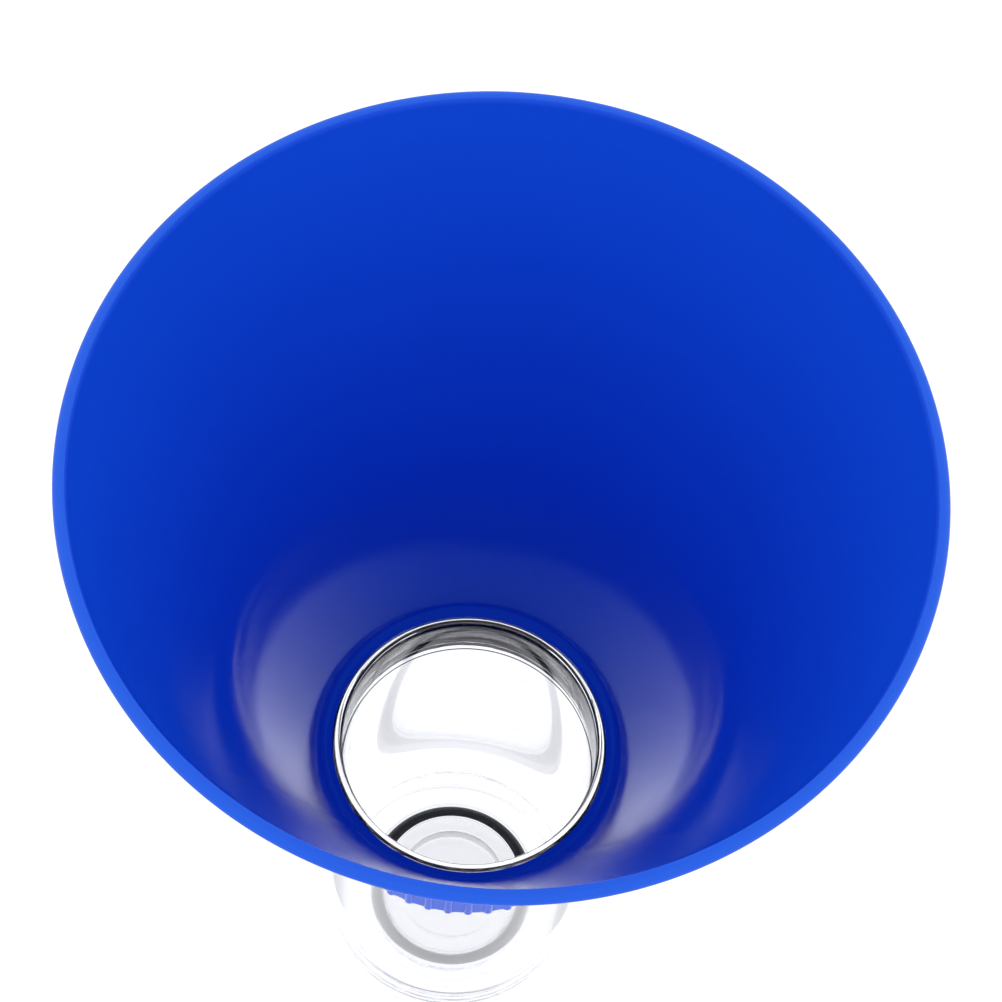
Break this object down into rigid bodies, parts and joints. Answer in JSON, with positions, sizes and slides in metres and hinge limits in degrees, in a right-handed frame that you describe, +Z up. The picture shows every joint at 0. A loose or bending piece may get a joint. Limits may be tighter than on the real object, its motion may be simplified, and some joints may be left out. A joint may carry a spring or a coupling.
{
  "type": "fuel sampler cup",
  "caption": "Wide catch funnel that screws on a clear sample cup, with a neck seal and a screw-in sediment well plug sealed in the cup's floor.",
  "frame": {"origin": "centre of the ring that the cup stands on", "axes": "+Z up along the axis of the cup and funnel, mouth at the top"},
  "size_m": [0.1, 0.1, 0.1464],
  "materials": {
    "funnel_blue": "smooth moulded plastic with a soft gloss",
    "insert_grey": "satin moulded plastic",
    "seal_rubber": "matt fuel-proof rubber",
    "cup_clear": "clear moulded plastic, polished",
    "plug_clear": "clear moulded plastic, polished",
    "ring_rubber": "matt fuel-proof rubber"
  },
  "bodies": {
    "cup": {"sample_cup": "cup_clear"},
    "neck_ring": {"neck_seal": "seal_rubber"},
    "funnel": {"catch_funnel": "funnel_blue", "thread_insert": "insert_grey"},
    "plug_ring": {"plug_o_ring": "ring_rubber"},
    "plug": {"base_plug": "plug_clear"}
  },
  "joints": [
    {"name": "funnel_lift", "type": "slide", "parent": "cup", "child": "neck_ring", "axis": [0, 0, 1], "range_m": [0, 0.005]},
    {"name": "funnel_turn", "type": "hinge", "parent": "neck_ring", "child": "funnel", "pos_m": [0, 0, 0.06], "axis": [0, 0, 1], "range_deg": [0, 900]},
    {"name": "plug_drop", "type": "slide", "parent": "cup", "child": "plug_ring", "axis": [0, 0, -1], "range_m": [0, 0.0045]},
    {"name": "plug_turn", "type": "hinge", "parent": "plug_ring", "child": "plug", "pos_m": [0, 0, 0.004], "axis": [0, 0, -1], "range_deg": [0, 1080]}
  ],
  "couplings": [
    {"joint": "funnel_lift", "follows": "funnel_turn", "m_per_rad": 0.00031831},
    {"joint": "plug_drop", "follows": "plug_turn", "m_per_rad": 0.00023873}
  ]
}
